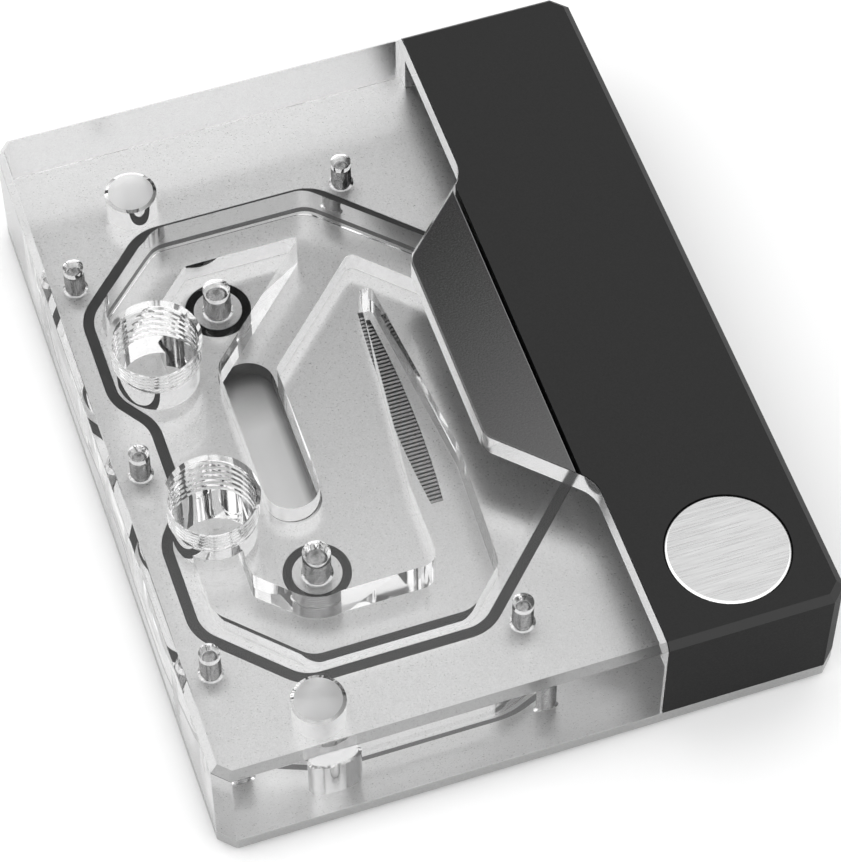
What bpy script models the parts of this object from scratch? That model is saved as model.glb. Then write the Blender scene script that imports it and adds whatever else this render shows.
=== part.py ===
"""A processor water block: nickel cold plate, clear acrylic top, black cover.

Sizes are in metres. +X runs along the front edge, +Y to the back, +Z up.
The origin is under the middle of the block, on the surface it rests on.
"""

import math

import bmesh
import bpy
from mathutils import Vector

MM = 0.001

# Overall sizes
WIDTH = 88.9 * MM
LENGTH = 112.2 * MM
TOP_THICKNESS = 17.4 * MM
PLATE_THICKNESS = 2.2 * MM
PAD_THICKNESS = 0.8 * MM
CORNER_CUT = 2.2 * MM
TOP_CHAMFER = 1.0 * MM
PLATE_GAP = 0.1 * MM

# Cold plate
PAD_ALONG_X = 50.0 * MM
PAD_ALONG_Y = 38.0 * MM
PAD_CORNER = 4.0 * MM
POCKET_DEPTH = 2.2 * MM
POCKET_CORNER = 0.4 * MM
FIN_FIELD_LEFT = -16.0 * MM
FIN_FIELD_RIGHT = 15.0 * MM
FIN_FIELD_HALF = 17.4 * MM
FIN_PITCH = 0.66 * MM
FIN_THICKNESS = 0.36 * MM
FIN_FOOT = 0.3 * MM
FIN_GAP = 0.12 * MM
JET_PLATE_THICKNESS = 0.5 * MM
JET_PLATE_GAP = 0.03 * MM
JET_CENTRE_X = -0.45 * MM
JET_HALF_MIDDLE = 1.75 * MM
JET_HALF_END = 0.9 * MM
JET_END_MARGIN = 0.9 * MM

# Collector slots at the ends of the fins
LEFT_SLOT_WIDTH = 7.9 * MM
RIGHT_SLOT_WIDTH = 6.6 * MM
LEFT_SLOT_HALF = 15.0 * MM
RIGHT_SLOT_HALF = 11.3 * MM
SLOT_DEPTH = 2.4 * MM
SLOT_UNDER_FINS = 0.2 * MM

# Main seal: the centre line of the ring, the same on both sides of Y = 0
SEAL_RADIUS = 0.74 * MM
SEAL_CLEARANCE = 0.06 * MM
SEAL_PROUD = 0.05 * MM
SEAL_LEFT = -38.9 * MM
SEAL_RIGHT = 24.5 * MM
SEAL_HALF = 39.35 * MM
SEAL_WAIST_X = -34.8 * MM
SEAL_WAIST_Y = 6.8 * MM
SEAL_WAIST_RUN = 5.8 * MM
SEAL_LEFT_CHAMFER = 11.75 * MM
SEAL_RIGHT_CHAMFER = 25.55 * MM
SEAL_BEND = 6.0 * MM

# Chambers milled into the underside of the top
CHAMBER_DEPTH = 5.8 * MM
CHAMBER_LEFT = -36.3 * MM
CHAMBER_RIGHT = 22.4 * MM
CHAMBER_HALF = 37.9 * MM
CHAMBER_LEFT_CHAMFER = 10.7 * MM
CHAMBER_RIGHT_CHAMFER = 25.0 * MM
CHAMBER_BEND = 3.9 * MM
CUTTER_CORNER = 1.2 * MM
LAND_HALF = 29.4 * MM
LAND_LEFT_CHAMFER = 6.2 * MM
LAND_PORT_X = -29.5 * MM
CHANNEL_LAND_SUM = 35.2 * MM
CENTRE_LAND_SUM = 24.3 * MM
SLOT_TURN = 3.0 * MM
WEDGE_TIP_Y = 17.4 * MM
WEDGE_TIP_X = 0.2 * MM
WEDGE_TIP_HALF = 1.0 * MM
WEDGE_LEFT_FRONT_X = -4.4 * MM
WEDGE_LEFT_FRONT_Y = -16.3 * MM
WEDGE_RIGHT_X = 4.2 * MM
WEDGE_RIGHT_Y = -12.1 * MM
WEDGE_MOUTH_X = 3.2 * MM

# Threaded ports
PORT_X = -31.95 * MM
PORT_BACK_Y = 14.2 * MM
PORT_FRONT_Y = -13.5 * MM
PORT_BORE = 5.95 * MM
PORT_RIM = 6.7 * MM
PORT_DEPTH = 15.0 * MM

# Screws from below: thread radius, hole radius, reach above the cold plate
SMALL_SCREW = 1.35 * MM
LARGE_SCREW = 1.85 * MM
SCREW_REACH = 7.1 * MM
SCREW_HOLE_GAP = 0.15 * MM
HOLE_EXTRA_DEPTH = 1.4 * MM
DRILL_POINT = 31.0
HOLE_MOUTH = 0.35 * MM
HEAD_OVER_SHANK = 1.3 * MM
HEAD_HEIGHT = 1.3 * MM
HEAD_RECESS = 0.1 * MM
SOCKET_ACROSS = 2.0 * MM
SOCKET_DEPTH = 0.9 * MM
PLATE_HOLE_GAP = 0.3 * MM
EDGE_TO_SCREW = 5.75 * MM
CORNER_SCREW_Y = 33.9 * MM
LEFT_SCREW_X = -38.8 * MM
DIAGONAL_SCREW_X = 3.8 * MM
DIAGONAL_SCREW_Y = 40.0 * MM
COVERED_SCREW_X = 30.0 * MM
COVERED_SCREW_Y = 20.0 * MM

# Two screws stand inside the chamber, each with its own seal
INNER_SCREW_X = -20.35 * MM
INNER_SCREW_Y = 23.5 * MM
SMALL_SEAL_PATH = 4.15 * MM
SMALL_SEAL_RADIUS = 0.6 * MM
LAND_ROUND = 6.2 * MM

# Mounting studs and the pockets above them
MOUNT_HALF_X = 27.0 * MM
MOUNT_HALF_Y = 45.0 * MM
STUD_RADIUS = 1.6 * MM
STUD_REACH = 3.2 * MM
STUD_BOTTOM = 0.2 * MM
STUD_GAP = 0.15 * MM
MOUNT_POCKET = 3.95 * MM
MOUNT_POCKET_FLAT = 3.35 * MM
MOUNT_POCKET_WALL = 6.0 * MM
MOUNT_POCKET_TOP = 7.25 * MM

# Cover, name plate and badge
COVER_LEFT = 18.6 * MM
COVER_NOSE_X = 17.0 * MM
COVER_NOSE_BEND = 5.3 * MM
COVER_THICKNESS = 5.9 * MM
COVER_ROOF = 3.2 * MM
COVER_WALL = 2.0 * MM
COVER_GAP = 0.15 * MM
NAME_PLATE_GAP = 0.6 * MM
NAME_PLATE_SHORT_X = 6.55 * MM
NAME_PLATE_SLOPE = 9.5 * MM
NAME_PLATE_BEND = 3.0 * MM
COVER_SCREW_Y = 17.0 * MM
COVER_POST = 3.0 * MM
COVER_SCREW_REACH = 13.3 * MM
BADGE_RADIUS = 8.45 * MM
BADGE_THICKNESS = 1.6 * MM
BADGE_RAISED = 0.15 * MM
BADGE_CHAMFER = 0.45 * MM
BADGE_RING_GAP = 0.35 * MM
BADGE_FROM_FRONT = 12.0 * MM
MAGNET_RADIUS = 3.9 * MM
MAGNET_THICKNESS = 0.8 * MM
MAGNET_GAP = 0.1 * MM

# Levels
PLATE_BOTTOM = PAD_THICKNESS
PLATE_TOP = PLATE_BOTTOM + PLATE_THICKNESS
TOP_BOTTOM = PLATE_TOP + PLATE_GAP
TOP_TOP = TOP_BOTTOM + TOP_THICKNESS
CHAMBER_TOP = PLATE_TOP + CHAMBER_DEPTH
LEDGE = TOP_TOP - COVER_THICKNESS - PLATE_GAP
OVERCUT = 2.0 * MM

for old in list(bpy.data.objects):
    bpy.data.objects.remove(old, do_unlink=True)

scene = bpy.context.scene
parts = bpy.data.collections.new("cpu_water_block")
cutters = bpy.data.collections.new("cutters")
scene.collection.children.link(parts)
scene.collection.children.link(cutters)


def material(name, colour, roughness, metallic, transmission=0.0):
    made = bpy.data.materials.new(name)
    made.use_nodes = True
    shader = made.node_tree.nodes["Principled BSDF"]
    shader.inputs["Base Color"].default_value = (*colour, 1.0)
    shader.inputs["Roughness"].default_value = roughness
    shader.inputs["Metallic"].default_value = metallic
    shader.inputs["Transmission Weight"].default_value = transmission
    return made


NICKEL = material("satin_nickel", (0.66, 0.66, 0.66), 0.35, 1.0)
COPPER_FINS = material("nickel_fins", (0.55, 0.55, 0.56), 0.4, 1.0)
JET_STEEL = material("jet_steel", (0.62, 0.62, 0.63), 0.35, 1.0)
ACRYLIC = material("clear_acrylic", (0.98, 0.98, 0.98), 0.02, 0.0, 1.0)
RUBBER = material("black_rubber", (0.04, 0.04, 0.04), 0.6, 0.0)
SCREW_STEEL = material("screw_steel", (0.42, 0.42, 0.43), 0.35, 1.0)
STUD_STEEL = material("stud_steel", (0.5, 0.5, 0.51), 0.3, 1.0)
BLACK_ANODISED = material("black_anodised", (0.03, 0.03, 0.03), 0.55, 0.0)
GREY_ANODISED = material("dark_grey_anodised", (0.09, 0.09, 0.09), 0.4, 0.6)
BRUSHED = material("brushed_badge", (0.72, 0.72, 0.72), 0.3, 1.0)
MAGNET = material("magnet", (0.45, 0.45, 0.46), 0.3, 1.0)


def unit(vector):
    return vector / vector.length


def bend(before, corner, after, radius, steps=5):
    """The points of a round corner, or the corner itself where the radius is 0."""
    if radius <= 0:
        return [corner]
    back = unit(before - corner)
    ahead = unit(after - corner)
    half = math.acos(max(-1.0, min(1.0, back.dot(ahead)))) / 2
    reach = radius / math.tan(half)
    centre = corner + unit(back + ahead) * (radius / math.sin(half))
    start = corner + back * reach - centre
    turn = math.pi - 2 * half
    if back.x * ahead.y - back.y * ahead.x > 0:
        turn = -turn
    points = []
    for step in range(steps + 1):
        angle = turn * step / steps
        cosine, sine = math.cos(angle), math.sin(angle)
        points.append(centre + Vector((start.x * cosine - start.y * sine, start.x * sine + start.y * cosine)))
    return points


def rounded(corners, steps=5):
    """A closed outline from (x, y, radius) corners."""
    flat = [Vector((x, y)) for x, y, _ in corners]
    points = []
    for index, (_, _, radius) in enumerate(corners):
        after = flat[(index + 1) % len(flat)]
        points += bend(flat[index - 1], flat[index], after, radius, steps)
    return points


def offset(corners, distance):
    """The same outline moved to its left by a distance, with its radii kept concentric."""
    flat = [Vector((x, y)) for x, y, _ in corners]
    moved = []
    for index, (_, _, radius) in enumerate(corners):
        before = unit(flat[index] - flat[index - 1])
        after = unit(flat[(index + 1) % len(flat)] - flat[index])
        left_before = Vector((-before.y, before.x))
        left_after = Vector((-after.y, after.x))
        share = distance / (1 + left_before.dot(left_after))
        place = flat[index] + (left_before + left_after) * share
        turns_left = before.x * after.y - before.y * after.x > 0
        new_radius = radius - distance if turns_left else radius + distance
        moved.append((place.x, place.y, max(new_radius, 0.0)))
    return moved


def circle(x, y, radius, steps):
    return [
        Vector((x + radius * math.cos(2 * math.pi * k / steps), y + radius * math.sin(2 * math.pi * k / steps)))
        for k in range(steps)
    ]


def arc(x, y, radius, first, last, steps):
    """Corner entries along an arc, in degrees, for use among other corners."""
    entries = []
    for step in range(steps + 1):
        angle = math.radians(first + (last - first) * step / steps)
        entries.append((x + radius * math.cos(angle), y + radius * math.sin(angle), 0.0))
    return entries


def as_mesh(temporary, name, collection):
    """Turns an object into a plain mesh object, with its modifiers applied and its seams welded."""
    bpy.context.view_layer.update()
    graph = bpy.context.evaluated_depsgraph_get()
    mesh = bpy.data.meshes.new_from_object(temporary.evaluated_get(graph))
    mesh.name = name
    body = bmesh.new()
    body.from_mesh(mesh)
    bmesh.ops.remove_doubles(body, verts=body.verts, dist=1e-6)
    bmesh.ops.dissolve_limit(body, angle_limit=0.001, verts=body.verts, edges=body.edges)
    body.to_mesh(mesh)
    body.free()
    place = temporary.matrix_world.copy()
    bpy.data.objects.remove(temporary, do_unlink=True)
    made = bpy.data.objects.new(name, mesh)
    made.matrix_world = place
    collection.objects.link(made)
    if collection == cutters:
        made.hide_render = True
        made.display_type = "WIRE"
    return made


def prism(name, outlines, bottom, top, collection):
    """Closed outlines drawn up from bottom to top. A second outline inside the first is a hole."""
    curve = bpy.data.curves.new(name, "CURVE")
    curve.dimensions = "2D"
    curve.fill_mode = "BOTH"
    curve.extrude = (top - bottom) / 2
    for outline in outlines:
        spline = curve.splines.new("POLY")
        spline.points.add(len(outline) - 1)
        for point, place in zip(spline.points, outline):
            point.co = (place.x, place.y, 0.0, 1.0)
        spline.use_cyclic_u = True
    drawn = bpy.data.objects.new(name + "_outline", curve)
    drawn.location.z = (top + bottom) / 2
    scene.collection.objects.link(drawn)
    return as_mesh(drawn, name, collection)


def turned(name, profile, steps, collection, place=(0.0, 0.0, 0.0)):
    """A profile of (radius, height) points, listed from top to bottom, turned about Z."""
    mesh = bpy.data.meshes.new(name + "_profile")
    points = [(radius, 0.0, height) for radius, height in profile]
    mesh.from_pydata(points, [(k, k + 1) for k in range(len(points) - 1)], [])
    spun = bpy.data.objects.new(name + "_profile", mesh)
    scene.collection.objects.link(spun)
    screw = spun.modifiers.new("turn", "SCREW")
    screw.axis = "Z"
    screw.angle = 2 * math.pi
    screw.steps = steps
    screw.render_steps = steps
    screw.use_merge_vertices = True
    screw.merge_threshold = 1e-6
    made = as_mesh(spun, name, collection)
    made.location = place
    return made


def copy_of(first, name, collection, place):
    """Another object that shares the first one's mesh."""
    made = bpy.data.objects.new(name, first.data)
    made.location = place
    collection.objects.link(made)
    if collection == cutters:
        made.hide_render = True
        made.display_type = "WIRE"
    return made


def cut(target, *tools, operation="DIFFERENCE"):
    for tool in tools:
        boolean = target.modifiers.new("cut_" + tool.name, "BOOLEAN")
        boolean.operation = operation
        boolean.object = tool
        boolean.solver = "EXACT"


def joined(name, members, collection):
    """Several separate closed shapes as one cutter."""
    mesh = bpy.data.meshes.new(name)
    body = bmesh.new()
    for member in members:
        piece = member.data.copy()
        piece.transform(member.matrix_basis)
        body.from_mesh(piece)
        bpy.data.meshes.remove(piece)
        bpy.data.objects.remove(member, do_unlink=True)
    body.to_mesh(mesh)
    body.free()
    made = bpy.data.objects.new(name, mesh)
    collection.objects.link(made)
    made.hide_render = True
    made.display_type = "WIRE"
    return made


def finish(thing, look, smooth=True):
    thing.data.materials.clear()
    thing.data.materials.append(look)
    if smooth:
        thing.data.shade_smooth()
        thing.data.set_sharp_from_angle(angle=math.radians(35))
    return thing


def bevel_top(thing, height, width, keep=lambda place: True):
    """Chamfers the outer edges that lie at one height, where keep says so."""
    body = bmesh.new()
    body.from_mesh(thing.data)
    weight = body.edges.layers.float.new("bevel_weight_edge")
    for edge in body.edges:
        middle = (edge.verts[0].co + edge.verts[1].co) / 2
        level = all(abs(v.co.z + thing.location.z - height) < 1e-6 for v in edge.verts)
        if level and len(edge.link_faces) == 2 and edge.calc_face_angle() > 0.5 and keep(middle):
            edge[weight] = 1.0
    body.to_mesh(thing.data)
    body.free()
    chamfer = thing.modifiers.new("top_chamfer", "BEVEL")
    chamfer.limit_method = "WEIGHT"
    chamfer.offset_type = "WIDTH"
    chamfer.width = width * math.sqrt(2)
    chamfer.segments = 1


def cut_corner_outline(left, right, front, back, left_cut, right_cut):
    """A rectangle with its corners cut at 45 degrees, anticlockwise."""
    corners = []
    for x, y, size, first in (
        (left, front, left_cut, "y"),
        (right, front, right_cut, "x"),
        (right, back, right_cut, "y"),
        (left, back, left_cut, "x"),
    ):
        inward_x = size if x == left else -size
        inward_y = size if y == front else -size
        if size <= 0:
            corners.append(Vector((x, y)))
        elif first == "y":
            corners += [Vector((x, y + inward_y)), Vector((x + inward_x, y))]
        else:
            corners += [Vector((x + inward_x, y)), Vector((x, y + inward_y))]
    return corners


def mirrored(corners):
    """A half outline given for +Y, then its mirror image, as one closed loop."""
    return corners + [(x, -y, radius) for x, y, radius in reversed(corners)]


# The seal's centre line, clockwise seen from above: its left side is outside
seal_line = mirrored(
    [
        (SEAL_WAIST_X, SEAL_WAIST_Y, SEAL_BEND),
        (SEAL_LEFT, SEAL_WAIST_Y + SEAL_WAIST_RUN, SEAL_BEND),
        (SEAL_LEFT, SEAL_HALF - SEAL_LEFT_CHAMFER, SEAL_BEND),
        (SEAL_LEFT + SEAL_LEFT_CHAMFER, SEAL_HALF, SEAL_BEND),
        (SEAL_RIGHT - SEAL_RIGHT_CHAMFER, SEAL_HALF, SEAL_BEND),
        (SEAL_RIGHT, SEAL_HALF - SEAL_RIGHT_CHAMFER, SEAL_BEND),
    ]
)
wall_left_back, wall_back_left, wall_back_right, wall_right_back = [
    (CHAMBER_LEFT, CHAMBER_HALF - CHAMBER_LEFT_CHAMFER, CHAMBER_BEND),
    (CHAMBER_LEFT + CHAMBER_LEFT_CHAMFER, CHAMBER_HALF, CHAMBER_BEND),
    (CHAMBER_RIGHT - CHAMBER_RIGHT_CHAMFER, CHAMBER_HALF, CHAMBER_BEND),
    (CHAMBER_RIGHT, CHAMBER_HALF - CHAMBER_RIGHT_CHAMFER, CHAMBER_BEND),
]
wall_front_right, wall_front_left, wall_left_front = [
    (x, -y, radius) for x, y, radius in (wall_back_right, wall_back_left, wall_left_back)
]

left_slot_outer = FIN_FIELD_LEFT - LEFT_SLOT_WIDTH
right_slot_outer = FIN_FIELD_RIGHT + RIGHT_SLOT_WIDTH
port_places = [(PORT_X, PORT_BACK_Y), (PORT_X, PORT_FRONT_Y)]
inner_places = [(INNER_SCREW_X, INNER_SCREW_Y), (INNER_SCREW_X, -INNER_SCREW_Y)]
right_screw_x = WIDTH / 2 - EDGE_TO_SCREW
outer_places = [
    (DIAGONAL_SCREW_X, DIAGONAL_SCREW_Y),
    (LEFT_SCREW_X, CORNER_SCREW_Y),
    (LEFT_SCREW_X, 0.0),
    (LEFT_SCREW_X, -CORNER_SCREW_Y),
    (DIAGONAL_SCREW_X, -DIAGONAL_SCREW_Y),
    (right_screw_x, -CORNER_SCREW_Y),
    (right_screw_x, 0.0),
    (right_screw_x, CORNER_SCREW_Y),
    (COVERED_SCREW_X, COVERED_SCREW_Y),
    (COVERED_SCREW_X, -COVERED_SCREW_Y),
]
cover_screw_places = [(right_screw_x, COVER_SCREW_Y), (right_screw_x, -COVER_SCREW_Y)]
mount_places = [
    (-MOUNT_HALF_X, -MOUNT_HALF_Y),
    (MOUNT_HALF_X, -MOUNT_HALF_Y),
    (MOUNT_HALF_X, MOUNT_HALF_Y),
    (-MOUNT_HALF_X, MOUNT_HALF_Y),
]


def land_edge_x(y, total):
    """X on a 45 degree edge where y - x has a given total."""
    return y - total


def back_chamber_outline():
    """The outlet chamber: behind the lands, down the slanting channel and into both collector slots."""
    centre_left_x = land_edge_x(0, CENTRE_LAND_SUM)
    slot_corner_y = CENTRE_LAND_SUM + FIN_FIELD_LEFT
    right_corner_y = CENTRE_LAND_SUM - FIN_FIELD_RIGHT
    half_slot = LEFT_SLOT_WIDTH / 2 - 0.05 * MM
    half_right = RIGHT_SLOT_WIDTH / 2 - 0.05 * MM
    apex_x = land_edge_x(LAND_HALF, CHANNEL_LAND_SUM)
    corners = [
        (CHAMBER_LEFT, PORT_BACK_Y, 0.0),
        wall_left_back,
        wall_back_left,
        wall_back_right,
        wall_right_back,
        (CHAMBER_RIGHT, -RIGHT_SLOT_HALF, half_right),
        (FIN_FIELD_RIGHT, -RIGHT_SLOT_HALF, half_right),
        (FIN_FIELD_RIGHT, right_corner_y, CUTTER_CORNER),
        (centre_left_x + CENTRE_LAND_SUM, CENTRE_LAND_SUM, CUTTER_CORNER),
        (FIN_FIELD_LEFT, slot_corner_y, CUTTER_CORNER),
        (FIN_FIELD_LEFT, -LEFT_SLOT_HALF, half_slot),
        (left_slot_outer, -LEFT_SLOT_HALF, half_slot),
        (left_slot_outer, left_slot_outer + CHANNEL_LAND_SUM, SLOT_TURN),
        (apex_x, LAND_HALF, CUTTER_CORNER / 3),
        (LAND_PORT_X + LAND_LEFT_CHAMFER, LAND_HALF, CUTTER_CORNER),
        (LAND_PORT_X, LAND_HALF - LAND_LEFT_CHAMFER, CUTTER_CORNER),
        (LAND_PORT_X, PORT_BACK_Y, 0.0),
    ]
    return rounded(corners)


def front_chamber_outline():
    """The inlet chamber: in front of the lands, opening into the tapered wedge over the jet slit."""
    outer_sum = wall_front_right[0] - wall_front_right[1]
    corners = [
        (LAND_PORT_X, PORT_FRONT_Y, 0.0),
        (LAND_PORT_X, -LAND_HALF + LAND_LEFT_CHAMFER, CUTTER_CORNER),
    ]
    corners += arc(INNER_SCREW_X, -INNER_SCREW_Y, LAND_ROUND, 225, 285, 5)
    corners += [
        (WEDGE_LEFT_FRONT_X, -LAND_HALF, 2 * CUTTER_CORNER),
        (WEDGE_LEFT_FRONT_X, WEDGE_LEFT_FRONT_Y, 4 * CUTTER_CORNER),
        (WEDGE_TIP_X - WEDGE_TIP_HALF, WEDGE_TIP_Y, WEDGE_TIP_HALF * 0.8),
        (WEDGE_TIP_X + WEDGE_TIP_HALF, WEDGE_TIP_Y, WEDGE_TIP_HALF * 0.8),
        (WEDGE_RIGHT_X, WEDGE_RIGHT_Y, 8 * CUTTER_CORNER),
        (WEDGE_MOUTH_X, WEDGE_MOUTH_X - outer_sum, 2 * CUTTER_CORNER),
        wall_front_right,
        wall_front_left,
        wall_left_front,
        (CHAMBER_LEFT, PORT_FRONT_Y, 0.0),
    ]
    return rounded(corners)


def box_outline(left, right, half, radius, steps=5):
    """A rectangle from left to right, the same distance to both sides of Y = 0, with round corners."""
    return rounded([(left, -half, radius), (right, -half, radius), (right, half, radius), (left, half, radius)], steps)


def slot_outline(left, right, half):
    return box_outline(left, right, half, (right - left) / 2 - 0.05 * MM)


def fin_field_outline(gap):
    """The fins' rectangle, smaller by a gap all round."""
    return box_outline(
        FIN_FIELD_LEFT + gap, FIN_FIELD_RIGHT - gap, FIN_FIELD_HALF - gap, POCKET_CORNER - gap, steps=2
    )


def screw_profile(radius, bottom, tip):
    """A countersunk screw, from its chamfered tip down to its head."""
    head = radius + HEAD_OVER_SHANK
    chamfer = radius * 0.25
    return [
        (0.0, tip),
        (radius - chamfer, tip),
        (radius, tip - chamfer),
        (radius, bottom + HEAD_HEIGHT),
        (head, bottom + 0.25 * MM),
        (head, bottom),
        (0.0, bottom),
    ]


def screw_hole_profile(radius):
    """The countersunk hole for a screw, through the cold plate."""
    bottom = PLATE_BOTTOM + HEAD_RECESS
    shank = radius + PLATE_HOLE_GAP
    head = radius + HEAD_OVER_SHANK + PLATE_HOLE_GAP
    return [
        (0.0, PLATE_TOP + OVERCUT),
        (shank, PLATE_TOP + OVERCUT),
        (shank, bottom + HEAD_HEIGHT + 0.15 * MM),
        (head, bottom + 0.35 * MM),
        (head, PLATE_BOTTOM - OVERCUT),
        (0.0, PLATE_BOTTOM - OVERCUT),
    ]


def blind_hole_profile(radius, top, mouth):
    """A hole from the underside of the acrylic: a countersunk mouth and a pointed end, as a drill leaves it."""
    return [
        (0.0, top + radius * math.tan(math.radians(DRILL_POINT))),
        (radius, top),
        (radius, TOP_BOTTOM + mouth),
        (radius + mouth, TOP_BOTTOM),
        (radius + mouth, TOP_BOTTOM - OVERCUT),
        (0.0, TOP_BOTTOM - OVERCUT),
    ]


def screw_blank(name, radius, tip):
    """A screw with a hexagon socket in its head, as a mesh that its copies share."""
    bottom = PLATE_BOTTOM + HEAD_RECESS
    blank = turned(name, screw_profile(radius, bottom, tip), 14, parts)
    socket = prism(
        name + "_socket",
        [circle(0.0, 0.0, SOCKET_ACROSS / math.sqrt(3), 6)],
        bottom - OVERCUT,
        bottom + SOCKET_DEPTH,
        cutters,
    )
    cut(blank, socket)
    made = as_mesh(blank, name, parts)
    return finish(made, SCREW_STEEL)


def cut_seal_grooves(plate):
    """Square grooves in the cold plate: one round the chambers and one round each inner screw."""
    over = PLATE_TOP + OVERCUT
    half = SEAL_RADIUS + SEAL_CLEARANCE
    lines = [rounded(offset(seal_line, half)), rounded(offset(seal_line, -half))]
    cut(plate, prism("seal_groove", lines, PLATE_TOP - 2 * half, over, cutters))
    half = SMALL_SEAL_RADIUS + SEAL_CLEARANCE
    grooves = []
    for x, y in inner_places:
        rings = [circle(x, y, SMALL_SEAL_PATH + half, 28), circle(x, y, SMALL_SEAL_PATH - half, 28)]
        grooves.append(prism("small_groove", rings, PLATE_TOP - 2 * half, over, cutters))
    cut(plate, joined("small_grooves", grooves, cutters))


def make_cold_plate():
    half_x, half_y = WIDTH / 2, LENGTH / 2
    outline = cut_corner_outline(-half_x, half_x, -half_y, half_y, CORNER_CUT, CORNER_CUT)
    plate = prism("cold_plate", [outline], PLATE_BOTTOM, PLATE_TOP, parts)
    pad_outline = box_outline(-PAD_ALONG_X / 2, PAD_ALONG_X / 2, PAD_ALONG_Y / 2, PAD_CORNER)
    pad = prism("pad_joint", [pad_outline], 0.0, PLATE_BOTTOM + PAD_THICKNESS, cutters)
    cut(plate, pad, operation="UNION")
    over = PLATE_TOP + OVERCUT
    pocket = prism("fin_pocket", [fin_field_outline(0.0)], PLATE_TOP - POCKET_DEPTH, over, cutters)
    left_edge = FIN_FIELD_LEFT + SLOT_UNDER_FINS
    right_edge = FIN_FIELD_RIGHT - SLOT_UNDER_FINS
    cut(plate, pocket)
    for name, outline in (
        ("left_slot_pocket", slot_outline(left_slot_outer, left_edge, LEFT_SLOT_HALF)),
        ("right_slot_pocket", slot_outline(right_edge, right_slot_outer, RIGHT_SLOT_HALF)),
    ):
        cut(plate, prism(name, [outline], PLATE_TOP - SLOT_DEPTH, over, cutters))
    cut_seal_grooves(plate)
    holes = []
    for radius, places in ((SMALL_SCREW, outer_places + cover_screw_places), (LARGE_SCREW, inner_places)):
        for x, y in places:
            holes.append(turned("plate_hole", screw_hole_profile(radius), 16, cutters, (x, y, 0.0)))
    stud_hole = [
        (0.0, PLATE_TOP + OVERCUT),
        (STUD_RADIUS + STUD_GAP, PLATE_TOP + OVERCUT),
        (STUD_RADIUS + STUD_GAP, PLATE_BOTTOM - OVERCUT),
        (0.0, PLATE_BOTTOM - OVERCUT),
    ]
    for x, y in mount_places:
        holes.append(turned("stud_hole", stud_hole, 16, cutters, (x, y, 0.0)))
    cut(plate, joined("plate_holes", holes, cutters))
    return finish(plate, NICKEL, smooth=False)


def make_fins():
    """One comb: a thin foot with upright fins that run along X."""
    floor = PLATE_TOP - POCKET_DEPTH + FIN_GAP
    fin_top = PLATE_TOP - JET_PLATE_THICKNESS - FIN_GAP
    comb = prism("fin_comb", [fin_field_outline(FIN_GAP)], floor, fin_top, parts)
    count = int(2 * (FIN_FIELD_HALF - FIN_GAP) / FIN_PITCH)
    gaps = []
    for index in range(count):
        y = (index - (count - 1) / 2) * FIN_PITCH
        gap_half = (FIN_PITCH - FIN_THICKNESS) / 2
        low, high = y - gap_half, y + gap_half
        gap = [(-WIDTH / 2, low, 0.0), (WIDTH / 2, low, 0.0), (WIDTH / 2, high, 0.0), (-WIDTH / 2, high, 0.0)]
        gaps.append(prism("fin_gap", [rounded(gap)], floor + FIN_FOOT, PLATE_TOP, cutters))
    cut(comb, joined("fin_gaps", gaps, cutters))
    return finish(comb, COPPER_FINS, smooth=False)


def make_jet_plate():
    """The thin plate over the fins, with a lens-shaped slit for the jet."""
    outline = fin_field_outline(JET_PLATE_GAP)
    end = FIN_FIELD_HALF - JET_END_MARGIN
    steps = 10
    slit = []
    for side in (1, -1):
        for step in range(steps + 1):
            y = side * end * (1 - 2 * step / steps)
            bulge = JET_HALF_MIDDLE - JET_HALF_END
            x = JET_HALF_END + bulge * (1 - (y / end) ** 2)
            slit.append(Vector((JET_CENTRE_X + side * x, y)))
    top = PLATE_TOP
    plate = prism("jet_plate", [outline, slit], top - JET_PLATE_THICKNESS, top, parts)
    return finish(plate, JET_STEEL, smooth=False)


def name_plate_corners(long_x, grow=0.0):
    """A trapezoid with its long side towards the cover, clockwise. Its slopes lie where y - x is fixed."""
    corners = [
        (long_x, -long_x - NAME_PLATE_SLOPE, 0.0),
        (NAME_PLATE_SHORT_X, -NAME_PLATE_SHORT_X - NAME_PLATE_SLOPE, NAME_PLATE_BEND),
        (NAME_PLATE_SHORT_X, NAME_PLATE_SHORT_X + NAME_PLATE_SLOPE, NAME_PLATE_BEND),
        (long_x, long_x + NAME_PLATE_SLOPE, 0.0),
    ]
    return offset(corners, grow)


def cover_corners(right, half, corner_cut, grow=0.0):
    """The cover's outline, clockwise: its left edge steps out to a low nose behind the name plate."""
    nose_half = COVER_NOSE_X + NAME_PLATE_SLOPE
    edge_half = COVER_LEFT + NAME_PLATE_SLOPE
    back = [
        (COVER_NOSE_X, nose_half, 0.0),
        (COVER_LEFT, edge_half, COVER_NOSE_BEND),
        (COVER_LEFT, half, 0.0),
        (right - corner_cut, half, 0.0),
    ]
    if corner_cut > 0:
        back.append((right, half - corner_cut, 0.0))
    return offset(mirrored(back), grow)


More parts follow.
